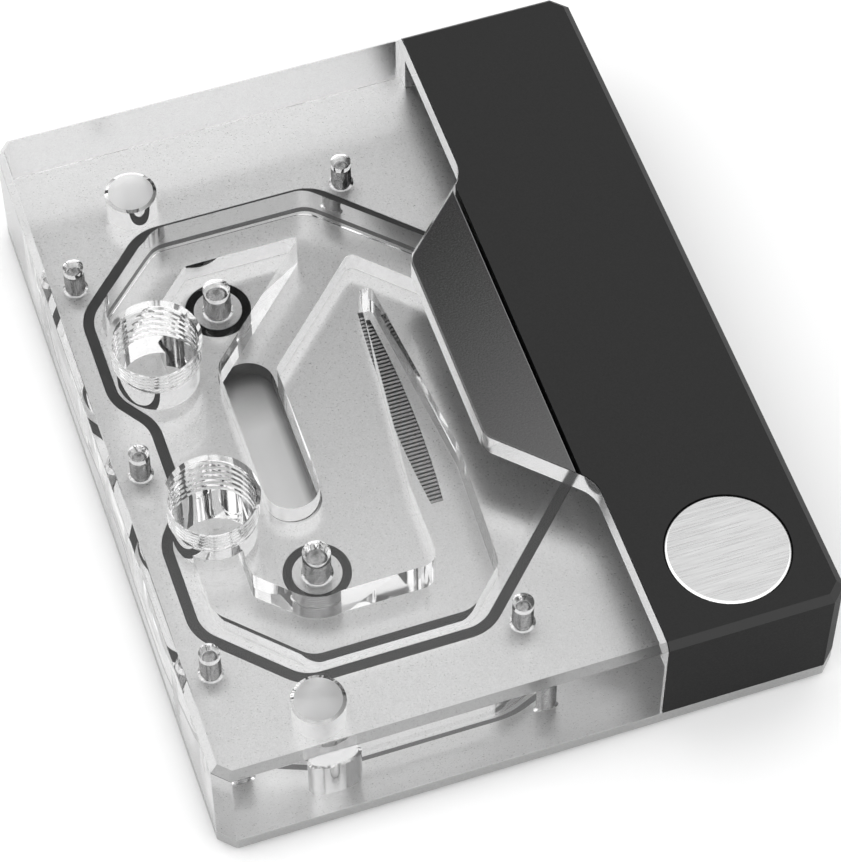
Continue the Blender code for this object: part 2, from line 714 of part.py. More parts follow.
def make_top():
    """The clear acrylic top, with everything that is milled and drilled into it."""
    half_x, half_y = WIDTH / 2, LENGTH / 2
    step_x = COVER_LEFT - COVER_GAP
    inset = COVER_WALL + COVER_GAP
    side = half_x - inset
    back = half_y - inset
    inner_cut = CORNER_CUT
    outline = [
        Vector((-half_x, -half_y + CORNER_CUT)),
        Vector((-half_x + CORNER_CUT, -half_y)),
        Vector((step_x, -half_y)),
        Vector((step_x, -back)),
        Vector((side - inner_cut, -back)),
        Vector((side, -back + inner_cut)),
        Vector((side, back - inner_cut)),
        Vector((side - inner_cut, back)),
        Vector((step_x, back)),
        Vector((step_x, half_y)),
        Vector((-half_x + CORNER_CUT, half_y)),
        Vector((-half_x, half_y - CORNER_CUT)),
    ]
    top = prism("acrylic_top", [outline], TOP_BOTTOM, TOP_TOP, parts)
    limit = step_x - 0.1 * MM
    bevel_top(top, TOP_TOP, TOP_CHAMFER, keep=lambda place: place.x < limit)

    low = TOP_BOTTOM - OVERCUT
    high = TOP_TOP + OVERCUT
    back_chamber = prism("back_chamber", [back_chamber_outline()], low, CHAMBER_TOP, cutters)
    front_chamber = prism("front_chamber", [front_chamber_outline()], low, CHAMBER_TOP, cutters)
    cut(top, back_chamber, front_chamber)

    port_floor = TOP_TOP - PORT_DEPTH
    rim_drop = PORT_RIM - PORT_BORE
    bores = []
    for x, y in port_places:
        profile = [
            (0.0, high),
            (PORT_RIM, high),
            (PORT_RIM, TOP_TOP - 0.4 * MM),
            (PORT_BORE, TOP_TOP - 0.4 * MM - rim_drop),
            (PORT_BORE, port_floor),
            (0.0, port_floor),
        ]
        bores.append(turned("port_bore", profile, 40, cutters, (x, y, 0.0)))
    cut(top, joined("port_bores", bores, cutters))

    hole_top = PLATE_TOP + SCREW_REACH + HOLE_EXTRA_DEPTH
    holes = []
    for radius, places in ((SMALL_SCREW, outer_places), (LARGE_SCREW, inner_places)):
        for x, y in places:
            profile = blind_hole_profile(radius + SCREW_HOLE_GAP, hole_top, HOLE_MOUTH)
            holes.append(turned("blind_hole", profile, 16, cutters, (x, y, 0.0)))
    through = SMALL_SCREW + PLATE_HOLE_GAP
    for x, y in cover_screw_places:
        profile = [(0.0, high), (through, high), (through, low), (0.0, low)]
        holes.append(turned("through_hole", profile, 16, cutters, (x, y, 0.0)))
    pocket = [
        (0.0, PLATE_TOP + MOUNT_POCKET_TOP),
        (MOUNT_POCKET_FLAT, PLATE_TOP + MOUNT_POCKET_TOP),
        (MOUNT_POCKET, PLATE_TOP + MOUNT_POCKET_WALL),
        (MOUNT_POCKET, low),
        (0.0, low),
    ]
    for x, y in mount_places:
        holes.append(turned("mount_pocket", pocket, 28, cutters, (x, y, 0.0)))
    cut(top, joined("top_holes", holes, cutters))

    name_outline = rounded(name_plate_corners(COVER_LEFT, COVER_GAP))
    name_recess = prism("name_recess", [name_outline], LEDGE, high, cutters)
    cover_outline = rounded(cover_corners(WIDTH, LENGTH, 0.0, COVER_GAP))
    cover_recess = prism("cover_recess", [cover_outline], LEDGE, high, cutters)
    cut(top, name_recess, cover_recess)
    return finish(top, ACRYLIC, smooth=False)


def ring_tube(name, outline, radius, height):
    """A closed tube along an outline, flat at one height."""
    curve = bpy.data.curves.new(name, "CURVE")
    curve.dimensions = "3D"
    curve.bevel_depth = radius
    curve.bevel_resolution = 2
    spline = curve.splines.new("POLY")
    spline.points.add(len(outline) - 1)
    for point, place in zip(spline.points, outline):
        point.co = (place.x, place.y, height, 1.0)
    spline.use_cyclic_u = True
    made = bpy.data.objects.new(name, curve)
    parts.objects.link(made)
    curve.materials.append(RUBBER)
    return made


def make_seals():
    ring_tube("main_seal", rounded(seal_line), SEAL_RADIUS, PLATE_TOP + SEAL_PROUD - SEAL_RADIUS)
    for index, (x, y) in enumerate(inner_places, 1):
        ring_tube(
            f"small_seal_{index}",
            circle(x, y, SMALL_SEAL_PATH, 28),
            SMALL_SEAL_RADIUS,
            PLATE_TOP + SEAL_PROUD - SMALL_SEAL_RADIUS,
        )


def make_screws():
    tip = PLATE_TOP + SCREW_REACH
    small = screw_blank("top_screw_1", SMALL_SCREW, tip)
    small.location = (*outer_places[0], 0.0)
    for index, (x, y) in enumerate(outer_places[1:], 2):
        copy_of(small, f"top_screw_{index}", parts, (x, y, 0.0))
    large = screw_blank("inner_screw_1", LARGE_SCREW, tip)
    large.location = (*inner_places[0], 0.0)
    copy_of(large, "inner_screw_2", parts, (*inner_places[1], 0.0))
    long_screw = screw_blank("cover_screw_1", SMALL_SCREW, PLATE_TOP + COVER_SCREW_REACH)
    long_screw.location = (*cover_screw_places[0], 0.0)
    copy_of(long_screw, "cover_screw_2", parts, (*cover_screw_places[1], 0.0))


def make_studs():
    """Threaded studs in the cold plate, each with a hexagon socket below."""
    bottom = PLATE_BOTTOM + STUD_BOTTOM
    top = PLATE_TOP + STUD_REACH
    chamfer = STUD_RADIUS * 0.2
    profile = [
        (0.0, top),
        (STUD_RADIUS - chamfer, top),
        (STUD_RADIUS, top - chamfer),
        (STUD_RADIUS, bottom + chamfer),
        (STUD_RADIUS - chamfer, bottom),
        (0.0, bottom),
    ]
    blank = turned("mount_stud_blank", profile, 16, parts)
    socket = prism(
        "stud_socket",
        [circle(0.0, 0.0, SOCKET_ACROSS / math.sqrt(3), 6)],
        bottom - OVERCUT,
        bottom + 2 * SOCKET_DEPTH,
        cutters,
    )
    cut(blank, socket)
    first = finish(as_mesh(blank, "mount_stud_1", parts), STUD_STEEL)
    first.location = (*mount_places[0], 0.0)
    for index, (x, y) in enumerate(mount_places[1:], 2):
        copy_of(first, f"mount_stud_{index}", parts, (x, y, 0.0))


def make_cover():
    """The black shell over the right side: full height outside, a ledge over the acrylic inside."""
    half_x, half_y = WIDTH / 2, LENGTH / 2
    outline = rounded(cover_corners(half_x, half_y, CORNER_CUT))
    cover = prism("cover", [outline], TOP_BOTTOM, TOP_TOP, parts)
    edge = COVER_LEFT + 0.1 * MM
    bevel_top(cover, TOP_TOP, TOP_CHAMFER, keep=lambda place: place.x > edge)
    side = half_x - COVER_WALL
    back = half_y - COVER_WALL
    hollow_outline = cut_corner_outline(COVER_LEFT + COVER_WALL, side, -back, back, 0.0, CORNER_CUT)
    roof = TOP_TOP - COVER_ROOF
    hollow = prism("cover_hollow", [hollow_outline], TOP_BOTTOM - OVERCUT, roof, cutters)
    open_side = cut_corner_outline(COVER_NOSE_X - OVERCUT, side, -back, back, 0.0, CORNER_CUT)
    under = prism("cover_underside", [open_side], TOP_BOTTOM - OVERCUT, LEDGE + PLATE_GAP, cutters)
    cut(cover, hollow, under)
    posts = []
    for x, y in cover_screw_places:
        profile = [
            (0.0, roof + OVERCUT / 2),
            (COVER_POST, roof + OVERCUT / 2),
            (COVER_POST, LEDGE + PLATE_GAP),
            (0.0, LEDGE + PLATE_GAP),
        ]
        posts.append(turned("cover_post", profile, 20, cutters, (x, y, 0.0)))
    cut(cover, joined("cover_posts", posts, cutters), operation="UNION")
    bores = []
    bore = SMALL_SCREW + SCREW_HOLE_GAP
    bore_top = PLATE_TOP + COVER_SCREW_REACH + 0.5 * MM
    for x, y in cover_screw_places:
        profile = [(0.0, bore_top), (bore, bore_top), (bore, LEDGE - OVERCUT), (0.0, LEDGE - OVERCUT)]
        bores.append(turned("post_bore", profile, 16, cutters, (x, y, 0.0)))
    cut(cover, joined("post_bores", bores, cutters))
    badge_x, badge_y = badge_place()
    recess_radius = BADGE_RADIUS + BADGE_RING_GAP
    recess_floor = TOP_TOP + BADGE_RAISED - BADGE_THICKNESS - PLATE_GAP
    magnet_floor = recess_floor - MAGNET_THICKNESS - 2 * MAGNET_GAP
    magnet_radius = MAGNET_RADIUS + MAGNET_GAP
    recess = turned(
        "badge_recess",
        [
            (0.0, TOP_TOP + OVERCUT),
            (recess_radius, TOP_TOP + OVERCUT),
            (recess_radius, recess_floor),
            (magnet_radius, recess_floor),
            (magnet_radius, magnet_floor),
            (0.0, magnet_floor),
        ],
        48,
        cutters,
        (badge_x, badge_y, 0.0),
    )
    cut(cover, recess)
    return finish(cover, BLACK_ANODISED, smooth=False)


def badge_place():
    return (COVER_LEFT + WIDTH / 2) / 2, -LENGTH / 2 + BADGE_FROM_FRONT


def make_badge():
    x, y = badge_place()
    top = TOP_TOP + BADGE_RAISED
    bottom = top - BADGE_THICKNESS
    profile = [
        (0.0, top),
        (BADGE_RADIUS - BADGE_CHAMFER, top),
        (BADGE_RADIUS, top - BADGE_CHAMFER),
        (BADGE_RADIUS, bottom),
        (0.0, bottom),
    ]
    finish(turned("badge", profile, 48, parts, (x, y, 0.0)), BRUSHED)
    magnet_top = bottom - PLATE_GAP - MAGNET_GAP
    magnet = [
        (0.0, magnet_top),
        (MAGNET_RADIUS, magnet_top),
        (MAGNET_RADIUS, magnet_top - MAGNET_THICKNESS),
        (0.0, magnet_top - MAGNET_THICKNESS),
    ]
    finish(turned("badge_magnet", magnet, 24, parts, (x, y, 0.0)), MAGNET)


def make_name_plate():
    outline = rounded(name_plate_corners(COVER_NOSE_X - NAME_PLATE_GAP))
    plate = prism("name_plate", [outline], LEDGE + PLATE_GAP, TOP_TOP, parts)
    return finish(plate, GREY_ANODISED, smooth=False)


make_cold_plate()
make_fins()
make_jet_plate()
make_top()
make_seals()
make_screws()
make_studs()
make_cover()
make_badge()
make_name_plate()
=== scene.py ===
"""The looks of the water block: clear top with real threads, satin plate, black cover, brushed badge.

Lengths are in millimetres until a piece is finished, and then in metres.
"""

import math

import bmesh
import bpy
from mathutils import Matrix, Vector


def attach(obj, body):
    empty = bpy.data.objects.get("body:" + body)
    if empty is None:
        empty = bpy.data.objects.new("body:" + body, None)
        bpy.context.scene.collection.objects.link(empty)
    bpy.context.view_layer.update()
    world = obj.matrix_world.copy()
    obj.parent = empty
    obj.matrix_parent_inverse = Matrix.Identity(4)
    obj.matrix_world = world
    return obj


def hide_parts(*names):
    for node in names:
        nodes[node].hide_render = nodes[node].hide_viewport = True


MM = 0.001
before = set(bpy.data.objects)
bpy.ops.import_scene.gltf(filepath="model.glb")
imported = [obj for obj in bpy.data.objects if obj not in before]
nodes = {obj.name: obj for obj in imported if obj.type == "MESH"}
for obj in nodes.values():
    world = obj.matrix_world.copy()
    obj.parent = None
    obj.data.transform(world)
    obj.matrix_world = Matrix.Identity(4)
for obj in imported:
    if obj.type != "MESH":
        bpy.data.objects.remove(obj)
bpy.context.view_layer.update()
scene = bpy.context.scene

pieces = bpy.data.collections.new("looks")
scene.collection.children.link(pieces)

# Levels above the contact face. The top touches the plate, apart from a film of air over the wet part.
PLATE_BOTTOM = 0.8
PLATE_TOP = 3.0
TOP_BOTTOM = 2.98
FILM_TOP = PLATE_TOP + 0.06
CHAMBER_TOP = 8.8
SCREW_TIP = 10.1
POCKET_TOP = 10.25
LEDGE = 14.5
TOP_TOP = 20.5

# The outer shape: half sizes, corner cuts, the chamfer along the top, and the cover's wall with its gap
HALF_X, HALF_Y = 44.45, 56.1
CORNER_CUT = 2.2
EDGE = 1.0
COVER_WALL = 2.15
FIT_GAP = 0.15

# Sideways places, as in the solids
FIN_LEFT, FIN_RIGHT, FIN_HALF = -16.0, 15.0, 17.4
SLOT_LEFT, SLOT_HALF = -23.9, 15.0
RIGHT_SLOT_RIGHT, RIGHT_SLOT_HALF = 21.6, 11.3
CHAMBER_LEFT, CHAMBER_RIGHT, CHAMBER_HALF = -36.3, 22.4, 37.9
PORTS = ((-31.95, 14.2), (-31.95, -13.5))
INNER = ((-20.35, 23.5), (-20.35, -23.5))
OUTER = (
    (3.8, 40.0),
    (-38.8, 33.9),
    (-38.8, 0.0),
    (-38.8, -33.9),
    (3.8, -40.0),
    (38.7, -33.9),
    (38.7, 0.0),
    (38.7, 33.9),
    (30.0, 20.0),
    (30.0, -20.0),
)
COVER_SCREWS = ((38.7, 17.0), (38.7, -17.0))
MOUNTS = ((-27.0, -45.0), (27.0, -45.0), (27.0, 45.0), (-27.0, 45.0))
LAND_LEFT, LAND_HALF = -29.5, 29.4
WET_INSET = 1.9
COVER_LEFT, COVER_NOSE, NAME_SLOPE = 18.6, 17.0, 9.5

# Depths below the plate's upper face
FIN_DEPTH, JET_THICKNESS = 2.2, 0.3
SLOT_DEPTH, RIGHT_SLOT_DEPTH = 2.7, 2.4

# Bends seen from above
SEAL_BEND = 6.0
CHAMBER_BEND = 3.9
TIGHT_BEND = 1.2
SLOT_BEND = 4.0

# Screws: radius of the small and the large thread, and the hexagon in their heads
SMALL_THREAD, LARGE_THREAD = 1.5, 2.0
HEXAGON = 1.155
STUD_POCKET = 3.8

# Grooves and the rings squeezed into them: half width, or outer and inner radius, then depth or height
SEAL_GROOVE, SEAL_GROOVE_DEPTH = 0.8, 1.6
SEAL_RING, SEAL_RING_HEIGHT = 0.76, 1.45
SMALL_GROOVE, SMALL_GROOVE_DEPTH = (4.81, 3.49), 1.32
SMALL_RING, SMALL_RING_HEIGHT = (4.77, 3.53), 1.2
SEAL_RISE = 0.05


# Outlines

def unit(vector):
    return vector / vector.length


def bend(before, corner, after, radius, steps):
    if radius <= 0:
        return [corner]
    back, ahead = unit(before - corner), unit(after - corner)
    half = math.acos(max(-1.0, min(1.0, back.dot(ahead)))) / 2
    centre = corner + unit(back + ahead) * (radius / math.sin(half))
    start = corner + back * (radius / math.tan(half)) - centre
    turn = math.pi - 2 * half
    if back.x * ahead.y - back.y * ahead.x > 0:
        turn = -turn
    points = []
    for step in range(steps + 1):
        angle = turn * step / steps
        cosine, sine = math.cos(angle), math.sin(angle)
        arm = Vector((start.x * cosine - start.y * sine, start.x * sine + start.y * cosine))
        points.append(centre + arm)
    return points


def rounded(corners, steps=12):
    """A closed outline from (x, y, radius) corners."""
    flat = [Vector((x, y)) for x, y, _ in corners]
    points = []
    for index, (_, _, radius) in enumerate(corners):
        points += bend(flat[index - 1], flat[index], flat[(index + 1) % len(flat)], radius, steps)
    return points


def offset(corners, distance):
    """The same outline moved to its left by a distance, with its radii kept concentric."""
    flat = [Vector((x, y)) for x, y, _ in corners]
    moved = []
    for index, (_, _, radius) in enumerate(corners):
        before = unit(flat[index] - flat[index - 1])
        after = unit(flat[(index + 1) % len(flat)] - flat[index])
        left_before = Vector((-before.y, before.x))
        left_after = Vector((-after.y, after.x))
        place = flat[index] + (left_before + left_after) * (distance / (1 + left_before.dot(left_after)))
        turns_left = before.x * after.y - before.y * after.x > 0
        new_radius = radius - distance if turns_left else radius + distance
        moved.append((place.x, place.y, max(new_radius, 0.0)))
    return moved


def mirrored(corners):
    return corners + [(x, -y, radius) for x, y, radius in reversed(corners)]


def circle(x, y, radius, steps):
    angles = [2 * math.pi / steps * k for k in range(steps)]
    return [Vector((x + radius * math.cos(angle), y + radius * math.sin(angle))) for angle in angles]


def arc(x, y, radius, first, last):
    steps = 12
    entries = []
    for step in range(steps + 1):
        angle = math.radians(first + (last - first) * step / steps)
        entries.append((x + radius * math.cos(angle), y + radius * math.sin(angle), 0.0))
    return entries


def box(left, right, half, radius, steps=12):
    corners = [(left, -half, radius), (right, -half, radius), (right, half, radius), (left, half, radius)]
    return rounded(corners, steps)


def as_milled(corners):
    """The milled pattern sits a little towards the back, and is a touch longer than the solids have it."""
    stretch, shift = 1.0094, 0.37
    return [(x, y * stretch + shift, radius) for x, y, radius in corners]


seal_line = as_milled(
    mirrored(
        [
            (-34.8, 6.8, SEAL_BEND),
            (-38.9, 12.6, SEAL_BEND),
            (-38.9, 27.6, SEAL_BEND),
            (-27.15, 39.35, SEAL_BEND),
            (-1.05, 39.35, SEAL_BEND),
            (24.5, 13.8, SEAL_BEND),
        ]
    )
)


def back_chamber():
    """The outlet chamber: behind the lands, down the slanting channel and into both collector slots."""
    back_wall = CHAMBER_HALF - 0.6
    corners = [
        (CHAMBER_LEFT, PORTS[0][1], 0.0),
        (CHAMBER_LEFT, 27.2, CHAMBER_BEND),
        (-25.6, back_wall, CHAMBER_BEND),
        (-2.6, back_wall, CHAMBER_BEND),
        (CHAMBER_RIGHT, 12.9, CHAMBER_BEND),
        (CHAMBER_RIGHT, -RIGHT_SLOT_HALF, 3.25),
        (FIN_RIGHT, -RIGHT_SLOT_HALF, 3.25),
        (FIN_RIGHT, 9.3, TIGHT_BEND),
        (0.0, 24.3, TIGHT_BEND),
        (FIN_LEFT, 8.3, TIGHT_BEND),
        (FIN_LEFT, -SLOT_HALF, CHAMBER_BEND),
        (SLOT_LEFT, -SLOT_HALF, CHAMBER_BEND),
        (SLOT_LEFT, 11.3, 3.0),
        (-5.8, LAND_HALF, 0.4),
        (-23.3, LAND_HALF, TIGHT_BEND),
        (LAND_LEFT, 23.2, TIGHT_BEND),
        (LAND_LEFT, PORTS[0][1], 0.0),
    ]
    return rounded(as_milled(corners))


def front_chamber():
    """The inlet chamber: in front of the lands, opening into the tapered wedge over the jet slit."""
    x, y = INNER[1]
    around_screw = 6.2
    corners = [(LAND_LEFT, PORTS[1][1], 0.0), (LAND_LEFT, -23.2, TIGHT_BEND)]
    corners += arc(x, y, around_screw, 225, 285)
    corners += [
        (-4.4, -LAND_HALF, 2.4),
        (-4.4, -16.3, 4.8),
        (-0.8, FIN_HALF, 0.8),
        (1.2, FIN_HALF, 0.8),
        (4.2, -12.1, 9.6),
        (3.2, -32.1, 2.4),
        (-2.6, -CHAMBER_HALF, CHAMBER_BEND),
        (-25.6, -CHAMBER_HALF, CHAMBER_BEND),
        (CHAMBER_LEFT, -27.2, CHAMBER_BEND),
        (CHAMBER_LEFT, PORTS[1][1], 0.0),
    ]
    return rounded(as_milled(corners))


def name_plate_corners(long_x, grow=0.0):
    short_x = 6.55
    return offset(
        [
            (long_x, -long_x - NAME_SLOPE, 0.0),
            (short_x, -short_x - NAME_SLOPE, 3.0),
            (short_x, short_x + NAME_SLOPE, 3.0),
            (long_x, long_x + NAME_SLOPE, 0.0),
        ],
        grow,
    )


def cover_recess_corners():
    """The room for the cover, drawn well past the block's right side and both ends."""
    right, half = 90.0, 110.0
    back = [
        (COVER_NOSE, COVER_NOSE + NAME_SLOPE, 0.0),
        (COVER_LEFT, COVER_LEFT + NAME_SLOPE, 5.3),
        (COVER_LEFT, half, 0.0),
        (right, half, 0.0),
    ]
    return offset(mirrored(back), FIT_GAP)


def jet_slit():
    """The slit over the fins, widest in the middle of its length."""
    middle, narrow, bulge = -0.45, 0.9, 0.85
    end = FIN_HALF - 0.9
    steps = 32
    slit = []
    for side in (1, -1):
        for step in range(steps + 1):
            y = side * end * (1 - 2 * step / steps)
            slit.append(Vector((middle + side * (narrow + bulge * (1 - (y / end) ** 2)), y)))
    return slit


# Solids

def as_mesh(temporary, name):
    """A plain mesh object with its modifiers applied and its seams welded."""
    weld, flat_angle = 1e-4, 0.0005
    bpy.context.view_layer.update()
    graph = bpy.context.evaluated_depsgraph_get()
    mesh = bpy.data.meshes.new_from_object(temporary.evaluated_get(graph))
    body = bmesh.new()
    body.from_mesh(mesh)
    body.transform(temporary.matrix_world)
    bmesh.ops.remove_doubles(body, verts=body.verts, dist=weld)
    bmesh.ops.dissolve_limit(body, angle_limit=flat_angle, verts=body.verts, edges=body.edges)
    body.to_mesh(mesh)
    body.free()
    bpy.data.objects.remove(temporary, do_unlink=True)
    mesh.name = name
    made = bpy.data.objects.new(name, mesh)
    scene.collection.objects.link(made)
    return made


def prism(name, outlines, bottom, top):
    """Closed outlines drawn up from bottom to top. A second outline inside the first is a hole."""
    curve = bpy.data.curves.new(name, "CURVE")
    curve.dimensions = "2D"
    curve.fill_mode = "BOTH"
    curve.extrude = (top - bottom) / 2
    for outline in outlines:
        spline = curve.splines.new("POLY")
        spline.points.add(len(outline) - 1)
        for point, place in zip(spline.points, outline):
            point.co = (place.x, place.y, 0.0, 1.0)
        spline.use_cyclic_u = True
    drawn = bpy.data.objects.new(name + "_outline", curve)
    drawn.location.z = (top + bottom) / 2
    scene.collection.objects.link(drawn)
    return as_mesh(drawn, name)


def turned(name, profile, steps, x, y):
    """A turned solid from (radius, height) points, listed from the top of its axis to the bottom."""
    body = bmesh.new()
    rings = []
    for radius, height in profile:
        if radius <= 1e-9:
            rings.append([body.verts.new((x, y, height))])
        else:
            rings.append([body.verts.new((p.x, p.y, height)) for p in circle(x, y, radius, steps)])
    for upper, lower in zip(rings, rings[1:]):
        for k in range(steps):
            after = (k + 1) % steps
            down = [upper[k % len(upper)], lower[k % len(lower)]]
            up = [lower[after % len(lower)], upper[after % len(upper)]]
            body.faces.new(list(dict.fromkeys(down + up)))
    return from_bmesh(body, name)


def from_bmesh(body, name):
    bmesh.ops.recalc_face_normals(body, faces=body.faces)
    mesh = bpy.data.meshes.new(name)
    body.to_mesh(mesh)
    body.free()
    made = bpy.data.objects.new(name, mesh)
    scene.collection.objects.link(made)
    return made


def thread_wave(phase, flat):
    """The height of a thread at a share of its turn, from 0 on the flat to 1 on the crest."""
    crest = 0.88
    phase = phase % 1.0
    slope = min(phase, 1.0 - phase) * 2
    return min(1.0, max(0.0, (slope - flat) / (crest - flat)))


def threaded(name, place, radii, pitch, ends, thread_ends, steps, per_turn, flat=0.12):
    """A rod with a helical thread along part of it, fading out at both ends of the thread."""
    x, y = place
    inner, outer = radii
    bottom, top = ends
    low, high = thread_ends
    run_out = 0.3
    body = bmesh.new()
    rows = int((top - bottom) / pitch * per_turn)
    rings = []
    for row in range(rows + 1):
        height = bottom + (top - bottom) * row / rows
        from_low, from_high = (height - low) / pitch, (high - height) / pitch
        fade = min(1.0, max(0.0, from_low + run_out), max(0.0, from_high + run_out))
        if height < low or height > high:
            fade = 0.0
        ring = []
        for k in range(steps):
            angle = 2 * math.pi * k / steps
            wave = thread_wave(height / pitch - k / steps, flat)
            radius = inner + (outer - inner) * wave * fade
            point = (x + radius * math.cos(angle), y + radius * math.sin(angle), height)
            ring.append(body.verts.new(point))
        rings.append(ring)
    for lower, upper in zip(rings, rings[1:]):
        for k in range(steps):
            after = (k + 1) % steps
            body.faces.new((lower[k], lower[after], upper[after], upper[k]))
    body.faces.new(rings[0])
    body.faces.new(rings[-1])
    return from_bmesh(body, name)


def together(name, members):
    body = bmesh.new()
    for member in members:
        body.from_mesh(member.data)
        bpy.data.objects.remove(member, do_unlink=True)
    return from_bmesh(body, name)


def cut(target, *tools, operation="DIFFERENCE"):
    for tool in tools:
        change = target.modifiers.new("cut", "BOOLEAN")
        change.operation = operation
        change.object = tool
        change.solver = "EXACT"
        tool.hide_render = True


def drop(*things):
    for thing in things:
        bpy.data.objects.remove(thing, do_unlink=True)


def bevel(thing, width, segments=2, angle=25.0):
    change = thing.modifiers.new("edges", "BEVEL")
    change.width = width
    change.segments = segments
    change.limit_method = "ANGLE"
    change.angle_limit = math.radians(angle)


def keep_flat(mesh):
    """Sharp edges around every large flat face, so that what is seen through it is not bent."""
    same_plane = 0.999995
    large_area, much_larger, least_angle = 1.5e-6, 3, 0.01
    body = bmesh.new()
    body.from_mesh(mesh)
    areas = {}
    for first in body.faces:
        if first in areas:
            continue
        region, waiting = {first}, [first]
        while waiting:
            face = waiting.pop()
            for edge in face.edges:
                for other in edge.link_faces:
                    if other not in region and first.normal.dot(other.normal) > same_plane:
                        region.add(other)
                        waiting.append(other)
        area = sum(face.calc_area() for face in region)
        for face in region:
            areas[face] = area
    for edge in body.edges:
        if len(edge.link_faces) != 2:
            continue
        small, large = sorted(areas[face] for face in edge.link_faces)
        if large > large_area and large > much_larger * small and edge.calc_face_angle(0.0) > least_angle:
            edge.smooth = False
    body.to_mesh(mesh)
    body.free()


def finish(thing, name, replaced, slot, *looks, angle=30.0):
    """Makes a solid one of the pieces: in metres, smooth, with its materials, in place of its CAD nodes."""
    made = as_mesh(thing, name)
    made.data.transform(Matrix.Scale(MM, 4))
    made.data.materials.clear()
    for look in looks:
        made.data.materials.append(look)
    made.data.shade_smooth()
    made.data.set_sharp_from_angle(angle=math.radians(angle))
    keep_flat(made.data)
    scene.collection.objects.unlink(made)
    pieces.objects.link(made)
    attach(made, "root")
    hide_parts(*replaced)
    return made


# Materials

def new_material(name):
    made = bpy.data.materials.new(name)
    made.use_nodes = True
    return made, made.node_tree, made.node_tree.nodes["Principled BSDF"]


def set_shader(shader, colour, roughness, metallic=0.0, **others):
    shader.inputs["Base Color"].default_value = (*colour, 1.0)
    shader.inputs["Roughness"].default_value = roughness
    shader.inputs["Metallic"].default_value = metallic
    for key, value in others.items():
        shader.inputs[key.replace("_", " ")].default_value = value


def noise(tree, scale, detail=3.0, stretch=(1.0, 1.0, 1.0)):
    place = tree.nodes.new("ShaderNodeTexCoord")
    mapping = tree.nodes.new("ShaderNodeMapping")
    mapping.inputs["Scale"].default_value = stretch
    made = tree.nodes.new("ShaderNodeTexNoise")
    made.inputs["Scale"].default_value = scale
    made.inputs["Detail"].default_value = detail
    tree.links.new(place.outputs["Object"], mapping.inputs["Vector"])
    tree.links.new(mapping.outputs["Vector"], made.inputs["Vector"])
    return made.outputs["Fac"]


def spread(tree, source, low, high, low_in=0.3, high_in=0.7):
    made = tree.nodes.new("ShaderNodeMapRange")
    made.inputs["From Min"].default_value = low_in
    made.inputs["From Max"].default_value = high_in
    made.inputs["To Min"].default_value = low
    made.inputs["To Max"].default_value = high
    tree.links.new(source, made.inputs["Value"])
    return made.outputs["Result"]


def bump(tree, shader, source, distance, strength=0.4):
    made = tree.nodes.new("ShaderNodeBump")
    made.inputs["Distance"].default_value = distance
    made.inputs["Strength"].default_value = strength
    tree.links.new(source, made.inputs["Height"])
    tree.links.new(made.outputs["Normal"], shader.inputs["Normal"])


def two_tone(tree, shader, source, dark, light):
    mix = tree.nodes.new("ShaderNodeMix")
    mix.data_type = "RGBA"
    mix.inputs["A"].default_value = (*grey(dark), 1.0)
    mix.inputs["B"].default_value = (*grey(light), 1.0)
    tree.links.new(source, mix.inputs["Factor"])
    tree.links.new(mix.outputs["Result"], shader.inputs["Base Color"])


def ramp(tree, source, stops):
    """A grey tone that follows (place, tone) stops."""
    made = tree.nodes.new("ShaderNodeValToRGB")
    elements = made.color_ramp.elements
    elements.remove(elements[-1])
    elements[0].position = stops[0][0]
    elements[0].color = (*grey(stops[0][1]), 1.0)
    for level, tone in stops[1:]:
        elements.new(level).color = (*grey(tone), 1.0)
    tree.links.new(source, made.inputs["Fac"])
    return made.outputs["Color"]


def grey(value):
    return (value, value, value)


def clear(name, roughness, colour=grey(0.985)):
    """Acrylic that bends what is seen through it and lets the lamps' light pass straight."""
    made, tree, shader = new_material(name)
    set_shader(shader, colour, roughness, IOR=1.49)
    shader.inputs["Transmission Weight"].default_value = 1.0
    path = tree.nodes.new("ShaderNodeLightPath")
    through = tree.nodes.new("ShaderNodeBsdfTransparent")
    mix = tree.nodes.new("ShaderNodeMixShader")
    output = tree.nodes["Material Output"]
    tree.links.new(path.outputs["Is Shadow Ray"], mix.inputs[0])
    tree.links.new(shader.outputs[0], mix.inputs[1])
    tree.links.new(through.outputs[0], mix.inputs[2])
    tree.links.new(mix.outputs[0], output.inputs["Surface"])
    return made


def satin(name, light, dark, roughness, metallic=1.0, grain=4000.0, depth=0.00001):
    """A fine grained finish, metal or not."""
    made, tree, shader = new_material(name)
    set_shader(shader, grey(light), roughness, metallic)
    grains = noise(tree, grain)
    two_tone(tree, shader, spread(tree, grains, 0.0, 1.0), dark, light)
    tree.links.new(spread(tree, grains, roughness - 0.03, roughness + 0.04), shader.inputs["Roughness"])
    bump(tree, shader, grains, depth)
    return made


